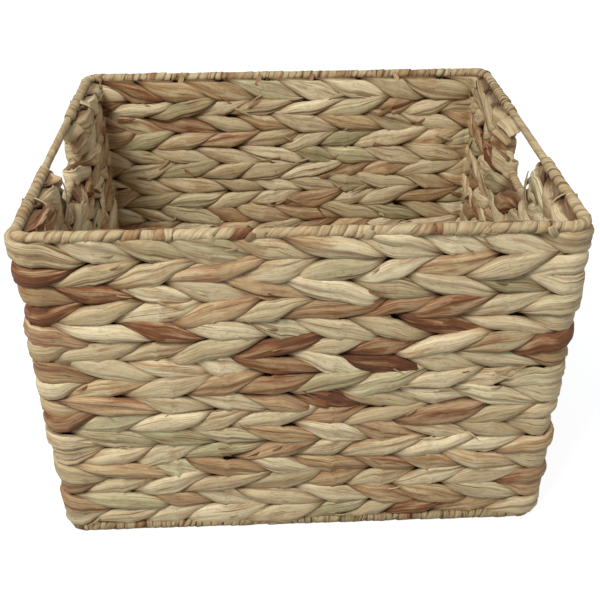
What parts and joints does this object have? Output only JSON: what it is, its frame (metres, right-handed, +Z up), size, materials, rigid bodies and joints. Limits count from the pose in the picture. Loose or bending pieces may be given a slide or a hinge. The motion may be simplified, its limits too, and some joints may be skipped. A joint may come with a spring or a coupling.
{
  "type": "woven storage basket",
  "caption": "Rectangular open storage basket: courses of twined plant stalk round a wire frame, a wrapped rim, and an opening under the rim at each end for lifting.",
  "frame": {"origin": "middle of the footprint, on the surface that the basket stands on", "axes": "+X along the long walls, towards the right handle; +Y from the front long wall to the back one; +Z up, out of the open top"},
  "size_m": [0.3994, 0.3454, 0.276],
  "materials": {
    "hyacinth_weave": "matte",
    "leaf_binding": "matte",
    "floor_weave": "matte",
    "frame_wire": "satin"
  },
  "bodies": {
    "root": {"rim_wire": "frame_wire", "base_wire": "frame_wire", "corner_post_front_left": "frame_wire", "corner_post_front_right": "frame_wire", "corner_post_back_left": "frame_wire", "corner_post_back_right": "frame_wire", "cross_wire_01": "frame_wire", "cross_wire_02": "frame_wire", "cross_wire_03": "frame_wire", "cross_wire_04": "frame_wire", "cross_wire_05": "frame_wire", "cross_wire_06": "frame_wire", "cross_wire_07": "frame_wire", "cross_wire_08": "frame_wire", "left_upright_1": "frame_wire", "left_upright_2": "frame_wire", "left_upright_3": "frame_wire", "left_upright_4": "frame_wire", "left_upright_5": "frame_wire", "left_upright_6": "frame_wire", "left_upright_7": "frame_wire", "handle_wire_left": "frame_wire", "handle_binding_left": "leaf_binding", "right_upright_1": "frame_wire", "right_upright_2": "frame_wire", "right_upright_3": "frame_wire", "right_upright_4": "frame_wire", "right_upright_5": "frame_wire", "right_upright_6": "frame_wire", "right_upright_7": "frame_wire", "handle_wire_right": "frame_wire", "handle_binding_right": "leaf_binding", "rim_binding_front": "leaf_binding", "rim_binding_back": "leaf_binding", "grip_binding_left": "leaf_binding", "grip_binding_right": "leaf_binding", "base_binding": "leaf_binding", "course_01_front": "hyacinth_weave", "course_01_back": "hyacinth_weave", "course_02_front": "hyacinth_weave", "course_02_back": "hyacinth_weave", "course_03_front": "hyacinth_weave", "course_03_back": "hyacinth_weave", "course_04": "hyacinth_weave", "course_05": "hyacinth_weave", "course_06": "hyacinth_weave", "course_07": "hyacinth_weave", "course_08": "hyacinth_weave", "course_09": "hyacinth_weave", "course_10": "hyacinth_weave", "course_11": "hyacinth_weave", "course_12": "hyacinth_weave", "course_13": "hyacinth_weave", "course_14": "hyacinth_weave", "course_15": "hyacinth_weave", "course_16": "hyacinth_weave", "floor_mat": "floor_weave"}
  },
  "joints": []
}
